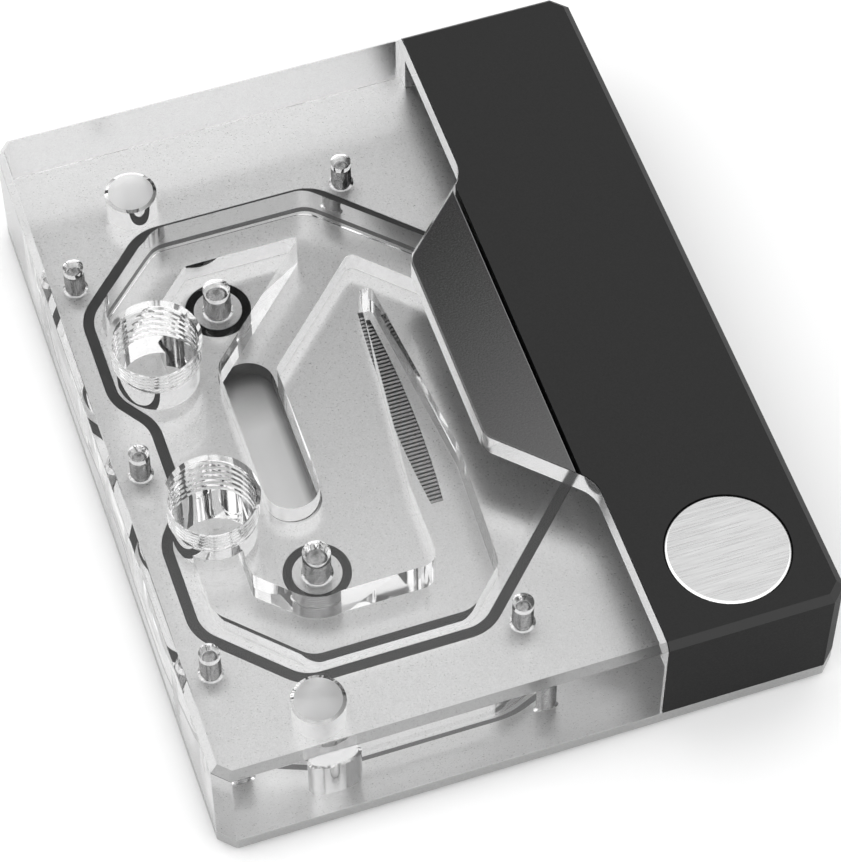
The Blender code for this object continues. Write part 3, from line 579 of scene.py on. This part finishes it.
def anodised(name):
    """Matt black with a fine grain, and painted light and shade by the way each face points: the chamfers
    are painted a little lighter than the top, the sides darker.
    """
    made, tree, shader = new_material(name)
    set_shader(shader, grey(0.02), 0.5, Specular_IOR_Level=0.1)
    grains = noise(tree, 5000.0)
    place = tree.nodes.new("ShaderNodeTexCoord")
    apart = tree.nodes.new("ShaderNodeSeparateXYZ")
    tree.links.new(place.outputs["Normal"], apart.inputs[0])
    rise = tree.nodes.new("ShaderNodeMath")
    rise.operation = "MULTIPLY_ADD"
    tree.links.new(grains, rise.inputs[0])
    rise.inputs[1].default_value = -0.08
    tree.links.new(apart.outputs["Z"], rise.inputs[2])
    # Painted light and shade: the tone follows how far the face leans up, lightest on the chamfers, darker
    # on the top, darkest on the sides.
    stops = ((0.0, 0.008), (0.4, 0.008), (0.6, 0.04), (0.84, 0.036), (0.92, 0.026), (1.0, 0.016))
    tree.links.new(ramp(tree, rise.outputs[0], stops), shader.inputs["Base Color"])
    tree.links.new(spread(tree, grains, 0.46, 0.56), shader.inputs["Roughness"])
    bump(tree, shader, grains, 0.00002)
    return made


def brushed(name, light, dark, roughness):
    """Straight brushing across the block, as fine streaks."""
    made, tree, shader = new_material(name)
    set_shader(shader, grey(light), roughness, 1.0)
    streaks = noise(tree, 120.0, 6.0, (1.5, 45.0, 1.0))
    two_tone(tree, shader, spread(tree, streaks, 0.0, 1.0), dark, light)
    tree.links.new(spread(tree, streaks, roughness - 0.05, roughness + 0.08), shader.inputs["Roughness"])
    bump(tree, shader, streaks, 0.00002, 0.5)
    return made


ACRYLIC = clear("clear_acrylic_polished", 0.0)
MILLED = clear("clear_acrylic_milled", 0.03)
FROSTED = clear("clear_acrylic_frosted", 0.5, grey(0.84))
# Painted shade: the front rim is tinted grey for the dark band it shows.
FRONT_RIM_SHADE = clear("clear_acrylic_front_rim_painted_shade", 0.1, grey(0.36))
# Painted shade: the recess walls beside the black cover are tinted grey.
RECESS = clear("clear_acrylic_recess_painted_shade", 0.1, grey(0.72))
PLATE = satin("satin_nickel_plate", 0.65, 0.55, 0.3, 1.0, 4500.0, 0.00002)
SIDE = satin("satin_nickel_side", 0.44, 0.36, 0.35)
# Painted shade: the fins get a darker nickel than the plate, for the shade in the slit over them.
FINS = satin("nickel_fin_painted_shade", 0.37, 0.3, 0.35)
SCREW = satin("steel_screw", 0.34, 0.2, 0.2, grain=2000.0)
# Painted shade: the slot walls get a darker nickel, for the shade deep in the slots.
WALL = satin("slot_wall_painted_shade", 0.24, 0.18, 0.4)
STUD = satin("steel_stud", 0.45, 0.38, 0.3, grain=2000.0)
COVER = anodised("black_matt_painted_shade")
RUBBER = satin("rubber_black", 0.014, 0.01, 0.5, 0.0)
BLACK = satin("rubber_jet_black", 0.003, 0.002, 0.6, 0.0)
BLACK.node_tree.nodes["Principled BSDF"].inputs["Specular IOR Level"].default_value = 0.1
NAME = satin("dark_grey_satin", 0.16, 0.13, 0.16, 1.0)
BADGE = brushed("brushed_disc", 0.72, 0.56, 0.28)
BRIGHT = satin("bright_edge", 0.85, 0.8, 0.15)


def slot_floor():
    """The slot's floor with painted shade: its colour is darker under the back wall and along the fins,
    where the recess lies in shade.
    """
    shade_start, shade_end = 5.0 * MM, 14.5 * MM
    edge_start, edge_end = (FIN_LEFT - 1.5) * MM, (FIN_LEFT - 0.3) * MM
    made, tree, shader = new_material("slot_floor_painted_shade")
    set_shader(shader, grey(0.6), 0.35, 1.0)
    place = tree.nodes.new("ShaderNodeTexCoord")
    apart = tree.nodes.new("ShaderNodeSeparateXYZ")
    tree.links.new(place.outputs["Object"], apart.inputs[0])
    # Painted shade: the colour darkens towards the back wall and next to the fins.
    back = spread(tree, apart.outputs["Y"], 1.0, 0.0, shade_start, shade_end)
    side = spread(tree, apart.outputs["X"], 1.0, 0.25, edge_start, edge_end)
    both = tree.nodes.new("ShaderNodeMath")
    both.operation = "MULTIPLY"
    tree.links.new(back, both.inputs[0])
    tree.links.new(side, both.inputs[1])
    two_tone(tree, shader, both.outputs[0], 0.16, 0.66)
    grains = noise(tree, 4500.0)
    tree.links.new(spread(tree, grains, 0.32, 0.38), shader.inputs["Roughness"])
    bump(tree, shader, grains, 0.00001)
    return made


def dress(names, look):
    for name in names:
        thing = nodes[name]
        if not thing.data.materials:
            thing.data.materials.append(look)
        for place in thing.material_slots:
            place.link = "OBJECT"
            place.material = look


# Pieces

def chamfer_rim(top):
    """The cut along the upper rim, on every side but the one that meets the cover."""
    level, turn, short_of_cover = 1e-4, 0.5, COVER_LEFT - 0.3
    body = bmesh.new()
    body.from_mesh(top.data)
    weight = body.edges.layers.float.new("bevel_weight_edge")
    for edge in body.edges:
        middle = (edge.verts[0].co + edge.verts[1].co) / 2
        if any(abs(corner.co.z - TOP_TOP) >= level for corner in edge.verts):
            continue
        if len(edge.link_faces) == 2 and edge.calc_face_angle() > turn and middle.x < short_of_cover:
            edge[weight] = 1.0
    body.to_mesh(top.data)
    body.free()
    change = top.modifiers.new("chamfer", "BEVEL")
    change.limit_method = "WEIGHT"
    change.offset_type = "WIDTH"
    change.width = EDGE * math.sqrt(2)
    change.segments = 1


def port_tools(low_end, high_end):
    """The threaded bores, and the chamfered mouths above them."""
    thread, pitch, flat = (5.95, 6.45), 1.25, 0.5
    thread_ends = (TOP_TOP - 7.9, TOP_TOP - 0.2)
    wide, narrow, mouth_floor = 6.7, 5.9, TOP_TOP - 0.8
    mouth = [
        (0.0, high_end),
        (wide + high_end - TOP_TOP, high_end),
        (wide, TOP_TOP),
        (narrow, mouth_floor),
        (0.0, mouth_floor),
    ]
    ends = (low_end, high_end)
    mouths = [turned("mouth", mouth, 96, *place) for place in PORTS]
    bores = [threaded("bore", place, thread, pitch, ends, thread_ends, 96, 20, flat) for place in PORTS]
    return mouths + bores


def screw_room(radius, low):
    """The drilled end above a screw's tip, and the countersink where the screw enters."""
    end, start = SCREW_TIP + 1.3, SCREW_TIP - 0.25
    cap = [(0.0, end + radius * 0.6), (radius, end), (radius, start), (0.0, start)]
    rise, wide = TOP_BOTTOM + 0.4, radius + 0.35
    sink = [(0.0, rise), (radius - 0.05, rise), (wide, TOP_BOTTOM), (wide, low), (0.0, low)]
    return cap, sink


def top_look(x, y, z, normal):
    """The finish of a face of the top: 0 polished, 1 milled, 2 frosted, 3 front rim, tinted grey as painted
    shade, 4 recess wall, tinted grey as painted shade.
    """
    upright = abs(normal.z) < 0.1
    inside = abs(x) < 43 and abs(y) < 54
    over_stud = any(math.hypot(x - a, y - b) < STUD_POCKET + 0.3 for a, b in MOUNTS)
    if over_stud and abs(z - POCKET_TOP) < 0.05:
        return 2
    if upright and inside and z < CHAMBER_TOP and not over_stud:
        return 1
    front_rim = z > TOP_TOP - EDGE and y < -HALF_Y + EDGE + 1.2
    if front_rim and -0.9 < normal.y < -0.3 and normal.z > 0.3:
        return 3
    if upright and LEDGE < z < TOP_TOP and 5 < x < COVER_LEFT + 1 and abs(y) < 55:
        return 4
    return 0


def make_top():
    right = COVER_LEFT - FIT_GAP
    cut_back = COVER_WALL + CORNER_CUT
    outline = [
        (-HALF_X, HALF_Y - CORNER_CUT),
        (-HALF_X, -HALF_Y + CORNER_CUT),
        (-HALF_X + CORNER_CUT, -HALF_Y),
        (right, -HALF_Y),
        (right, -HALF_Y + COVER_WALL),
        (HALF_X - cut_back, -HALF_Y + COVER_WALL),
        (HALF_X - COVER_WALL, -HALF_Y + cut_back),
        (HALF_X - COVER_WALL, HALF_Y - cut_back),
        (HALF_X - cut_back, HALF_Y - COVER_WALL),
        (right, HALF_Y - COVER_WALL),
        (right, HALF_Y),
        (-HALF_X + CORNER_CUT, HALF_Y),
    ]
    top = prism("top_body", [[Vector(place) for place in outline]], TOP_BOTTOM, TOP_TOP)
    chamfer_rim(top)
    top = as_mesh(top, "top_body")
    bevel(top, 0.07)
    top = as_mesh(top, "top_body")

    low, high = TOP_BOTTOM - 2, TOP_TOP + 2
    tools = [
        prism("back_chamber", [back_chamber()], low, CHAMBER_TOP),
        prism("front_chamber", [front_chamber()], low, CHAMBER_TOP),
        prism("name_recess", [rounded(name_plate_corners(COVER_LEFT, FIT_GAP))], LEDGE, high),
        prism("cover_recess", [rounded(cover_recess_corners())], LEDGE, high),
        prism("wet_side", [rounded(offset(seal_line, -WET_INSET))], low, FILM_TOP),
    ]
    tools += port_tools(5.5, high)
    holes = []
    for radius, places in ((SMALL_THREAD, OUTER), (LARGE_THREAD, INNER)):
        cap, sink = screw_room(radius, low)
        for place in places:
            holes.append(turned("cap", cap, 40, *place))
            holes.append(turned("countersink", sink, 40, *place))
    pocket = [
        (0.0, POCKET_TOP),
        (STUD_POCKET - 0.5, POCKET_TOP),
        (STUD_POCKET, POCKET_TOP - 0.35),
        (STUD_POCKET, low),
        (0.0, low),
    ]
    holes += [turned("pocket", pocket, 72, *place) for place in MOUNTS]
    tools.append(together("holes", holes))
    cut(top, *tools)
    looks = (ACRYLIC, MILLED, FROSTED, FRONT_RIM_SHADE, RECESS)
    made = finish(top, "clear_top", ["acrylic_top"], "clear_acrylic", *looks)
    drop(*tools)
    for face in made.data.polygons:
        face.material_index = top_look(*(face.center / MM), face.normal)


def plate_look(x, y, z, normal):
    """The finish of a face of the plate: 0 flat, 1 slot wall, darker as painted shade, 2 outer side, 3 slot
    floor, with painted shade.
    """
    in_slot = SLOT_LEFT - 0.1 < x < FIN_LEFT + 0.4 and abs(y) < SLOT_HALF + 0.1
    outermost = abs(x) > 43 or abs(y) > 54.5
    if in_slot and abs(normal.z) < 0.1:
        return 1
    if outermost and abs(normal.z) < 0.9:
        return 2
    if in_slot and 0.2 < z < 0.6 and normal.z > 0.9:
        return 3
    return 0


def make_plate():
    x, y = Vector((HALF_X, HALF_Y))
    cut_x, cut_y = x - CORNER_CUT, y - CORNER_CUT
    outline = [
        (-x, -cut_y),
        (-cut_x, -y),
        (cut_x, -y),
        (x, -cut_y),
        (x, cut_y),
        (cut_x, y),
        (-cut_x, y),
        (-x, cut_y),
    ]
    plate = prism("plate_body", [[Vector(place) for place in outline]], PLATE_BOTTOM, PLATE_TOP)
    bevel(plate, 0.12)
    plate = as_mesh(plate, "plate_body")
    pad = prism("pad", [box(-25, 25, 19, 4)], 0.0, PLATE_BOTTOM + 0.5)
    cut(plate, pad, operation="UNION")
    over, under = PLATE_TOP + 2, -1.0
    fins = box(FIN_LEFT, FIN_RIGHT, FIN_HALF, 0.4, 4)
    left_slot = box(SLOT_LEFT, FIN_LEFT + 0.2, SLOT_HALF, SLOT_BEND)
    right_slot = box(FIN_RIGHT - 0.2, RIGHT_SLOT_RIGHT, RIGHT_SLOT_HALF, 3.35)
    groove = [rounded(offset(seal_line, side * SEAL_GROOVE)) for side in (1, -1)]
    tools = [
        prism("fin_pocket", [fins], PLATE_TOP - FIN_DEPTH, PLATE_TOP - JET_THICKNESS),
        prism("jet_slit", [jet_slit()], PLATE_TOP - 0.5, over),
        prism("left_slot", [left_slot], PLATE_TOP - SLOT_DEPTH, over),
        prism("right_slot", [right_slot], PLATE_TOP - RIGHT_SLOT_DEPTH, over),
        prism("seal_groove", groove, PLATE_TOP - SEAL_GROOVE_DEPTH, over),
    ]
    for place in INNER:
        rings = [circle(*place, radius, 64) for radius in SMALL_GROOVE]
        tools.append(prism("small_groove", rings, PLATE_TOP - SMALL_GROOVE_DEPTH, over))
    holes = []
    for radius, places in ((SMALL_THREAD, OUTER + COVER_SCREWS), (LARGE_THREAD, INNER)):
        shank, head = radius + 0.05, radius + 1.45
        profile = [
            (0.0, over),
            (shank, over),
            (shank, PLATE_BOTTOM + 1.55),
            (head, PLATE_BOTTOM + 0.45),
            (head, under),
            (0.0, under),
        ]
        holes += [turned("hole", profile, 40, *place) for place in places]
    stud_hole = [(0.0, over), (1.75, over), (1.75, under), (0.0, under)]
    holes += [turned("hole", stud_hole, 40, *place) for place in MOUNTS]
    tools.append(together("plate_holes", holes))
    cut(plate, *tools)
    looks = (PLATE, WALL, SIDE, slot_floor())
    made = finish(plate, "nickel_plate", ["cold_plate", "jet_plate"], "satin_nickel", *looks)
    drop(pad, *tools)
    for face in made.data.polygons:
        face.material_index = plate_look(*(face.center / MM), face.normal)


def make_seals():
    """The rings as they lie squeezed in their grooves: flat on top, round at the shoulders."""
    lines = [rounded(offset(seal_line, side * SEAL_RING)) for side in (1, -1)]
    seals = [("main_seal", lines, SEAL_RING_HEIGHT, RUBBER)]
    for index, place in enumerate(INNER, 1):
        circles = [circle(*place, radius, 64) for radius in SMALL_RING]
        seals.append((f"small_seal_{index}", circles, SMALL_RING_HEIGHT, BLACK))
    top = PLATE_TOP + SEAL_RISE
    for name, outlines, height, look in seals:
        ring = prism(name, outlines, top - height, top)
        bevel(ring, 0.12, 3, 60.0)
        finish(ring, name + "_ring", [name], "black_rubber", look)


def make_screw(name, place, radius):
    """A screw whose thread bites into the acrylic, so that no air hides it."""
    tip, low, head_top = SCREW_TIP, PLATE_BOTTOM + 0.1, 2.3
    shoulder, pitch = tip - 0.35, 0.5
    core, rim = radius - 0.2, radius + 1.15
    ends, thread_ends = (2.2, shoulder), (PLATE_TOP - 0.2, tip)
    shaft = threaded("shaft", place, (radius - 0.18, radius), pitch, ends, thread_ends, 32, 6)
    point_profile = [(0.0, tip), (radius - 0.55, tip), (radius - 0.1, shoulder), (0.0, shoulder)]
    point = turned("point", point_profile, 32, *place)
    head_profile = [
        (0.0, head_top),
        (core, head_top),
        (core, PLATE_BOTTOM + 1.4),
        (rim, low + 0.25),
        (rim, low),
        (0.0, low),
    ]
    head = turned("head", head_profile, 32, *place)
    socket = prism("socket", [circle(*place, HEXAGON, 6)], low - 1, low + 0.9)
    cut(head, socket)
    head = as_mesh(head, "head")
    drop(socket)
    screw = together(name, [shaft, point, head])
    finish(screw, name + "_threaded", [name], "screw_steel", SCREW, angle=40)


def make_screws():
    for index, place in enumerate(OUTER, 1):
        make_screw(f"top_screw_{index}", place, SMALL_THREAD)
    for index, place in enumerate(INNER, 1):
        make_screw(f"inner_screw_{index}", place, LARGE_THREAD)


def make_studs():
    low, tip = PLATE_BOTTOM + 0.2, PLATE_TOP + 3.2
    for index, place in enumerate(MOUNTS, 1):
        name = f"mount_stud_{index}"
        shaft = threaded(name, place, (1.4, 1.6), 0.7, (low, tip), (low + 0.2, tip - 0.3), 40, 8)
        socket = prism("socket", [circle(*place, HEXAGON, 6)], low - 1, low + 1.8)
        cut(shaft, socket)
        finish(shaft, name + "_threaded", [name], "stud_steel", STUD, angle=40)
        drop(socket)


def make_badge():
    """A brushed disc whose turned edge is bright."""
    x, y = (COVER_LEFT + HALF_X) / 2, -HALF_Y + 12.0
    top = TOP_TOP + 0.15
    bottom = top - 1.6
    radius, face_radius = 8.72, 8.3
    profile = [
        (0.0, top),
        (face_radius, top),
        (8.36, top - 0.03),
        (8.68, top - 0.35),
        (radius, top - 0.45),
        (radius, bottom),
        (0.0, bottom),
    ]
    disc = turned("badge_disc", profile, 128, x, y)
    made = finish(disc, "badge_disc", ["badge"], "brushed_badge", BADGE, BRIGHT, angle=20)
    for face in made.data.polygons:
        away = math.hypot(face.center.x / MM - x, face.center.y / MM - y)
        if away > face_radius - 0.05 and abs(face.normal.z) < 0.99:
            face.material_index = 1


def make_name_plate():
    outline = rounded(name_plate_corners(COVER_NOSE - 0.6), 16)
    plate = prism("name_body", [outline], LEDGE + 0.1, TOP_TOP)
    bevel(plate, 0.15)
    finish(plate, "name_plate_body", ["name_plate"], "dark_grey_anodised", NAME)


make_top()
make_plate()
make_seals()
make_screws()
make_studs()
make_badge()
make_name_plate()
dress(["fin_comb"], FINS)
dress(["cover_screw_1", "cover_screw_2"], SCREW)
dress(["cover"], COVER)
dress(["badge_magnet"], STUD)


# Stage

def add_floor():
    bpy.ops.mesh.primitive_plane_add(size=6.0)
    floor = bpy.context.object
    floor.name = "floor"
    made, tree, shader = new_material("white_floor")
    set_shader(shader, grey(0.89), 0.8)
    shader.inputs["Specular IOR Level"].default_value = 0.0
    floor.data.materials.append(made)


def add_world(strength, shade, azimuth, elevation, inner, outer):
    """An even white studio with one dark round spot, whose reflection shades the far end of the block."""
    azimuth, elevation = math.radians(azimuth), math.radians(elevation)
    flat = math.cos(elevation)
    world = bpy.data.worlds.new("studio")
    world.use_nodes = True
    tree = world.node_tree
    ground = tree.nodes["Background"]
    place = tree.nodes.new("ShaderNodeTexCoord")
    dot = tree.nodes.new("ShaderNodeVectorMath")
    dot.operation = "DOT_PRODUCT"
    spot = (math.sin(azimuth) * flat, math.cos(azimuth) * flat, math.sin(elevation))
    dot.inputs[1].default_value = spot
    tree.links.new(place.outputs["Generated"], dot.inputs[0])
    step = tree.nodes.new("ShaderNodeMapRange")
    step.interpolation_type = "SMOOTHSTEP"
    step.inputs["From Min"].default_value = math.cos(math.radians(outer))
    step.inputs["From Max"].default_value = math.cos(math.radians(inner))
    step.inputs["To Min"].default_value = strength
    step.inputs["To Max"].default_value = shade
    tree.links.new(dot.outputs["Value"], step.inputs["Value"])
    apart = tree.nodes.new("ShaderNodeSeparateXYZ")
    tree.links.new(place.outputs["Generated"], apart.inputs[0])
    stops = ((0.0, 0.25), (0.15, 0.5), (0.35, 0.95), (0.62, 1.0), (0.82, 0.7), (1.0, 0.66))
    height = ramp(tree, apart.outputs["Z"], stops)
    both = tree.nodes.new("ShaderNodeMath")
    both.operation = "MULTIPLY"
    tree.links.new(step.outputs["Result"], both.inputs[0])
    tree.links.new(height, both.inputs[1])
    tree.links.new(both.outputs[0], ground.inputs["Strength"])
    ground.inputs["Color"].default_value = (1.0, 1.0, 1.0, 1.0)
    scene.world = world


def add_camera():
    lens = bpy.data.cameras.new("camera")
    lens.sensor_fit = "VERTICAL"
    lens.sensor_width = lens.sensor_height = 36.0
    lens.lens = 147.73
    lens.clip_start, lens.clip_end = 0.01, 10.0
    made = bpy.data.objects.new("camera", lens)
    made.location = (-89.87 * MM, -271.83 * MM, 424.48 * MM)
    made.rotation_euler = (math.radians(34.133), math.radians(-0.035), math.radians(-18.749))
    scene.collection.objects.link(made)
    scene.camera = made


add_floor()
add_world(strength=1.68, shade=0.04, azimuth=11.0, elevation=46.5, inner=7.5, outer=13.0)
add_camera()
scene.view_settings.view_transform = "Standard"
CLEAR_BOUNCES, SHINY_BOUNCES = 24, 8
scene.cycles.max_bounces = CLEAR_BOUNCES
scene.cycles.transmission_bounces = CLEAR_BOUNCES
scene.cycles.transparent_max_bounces = CLEAR_BOUNCES
scene.cycles.glossy_bounces = SHINY_BOUNCES
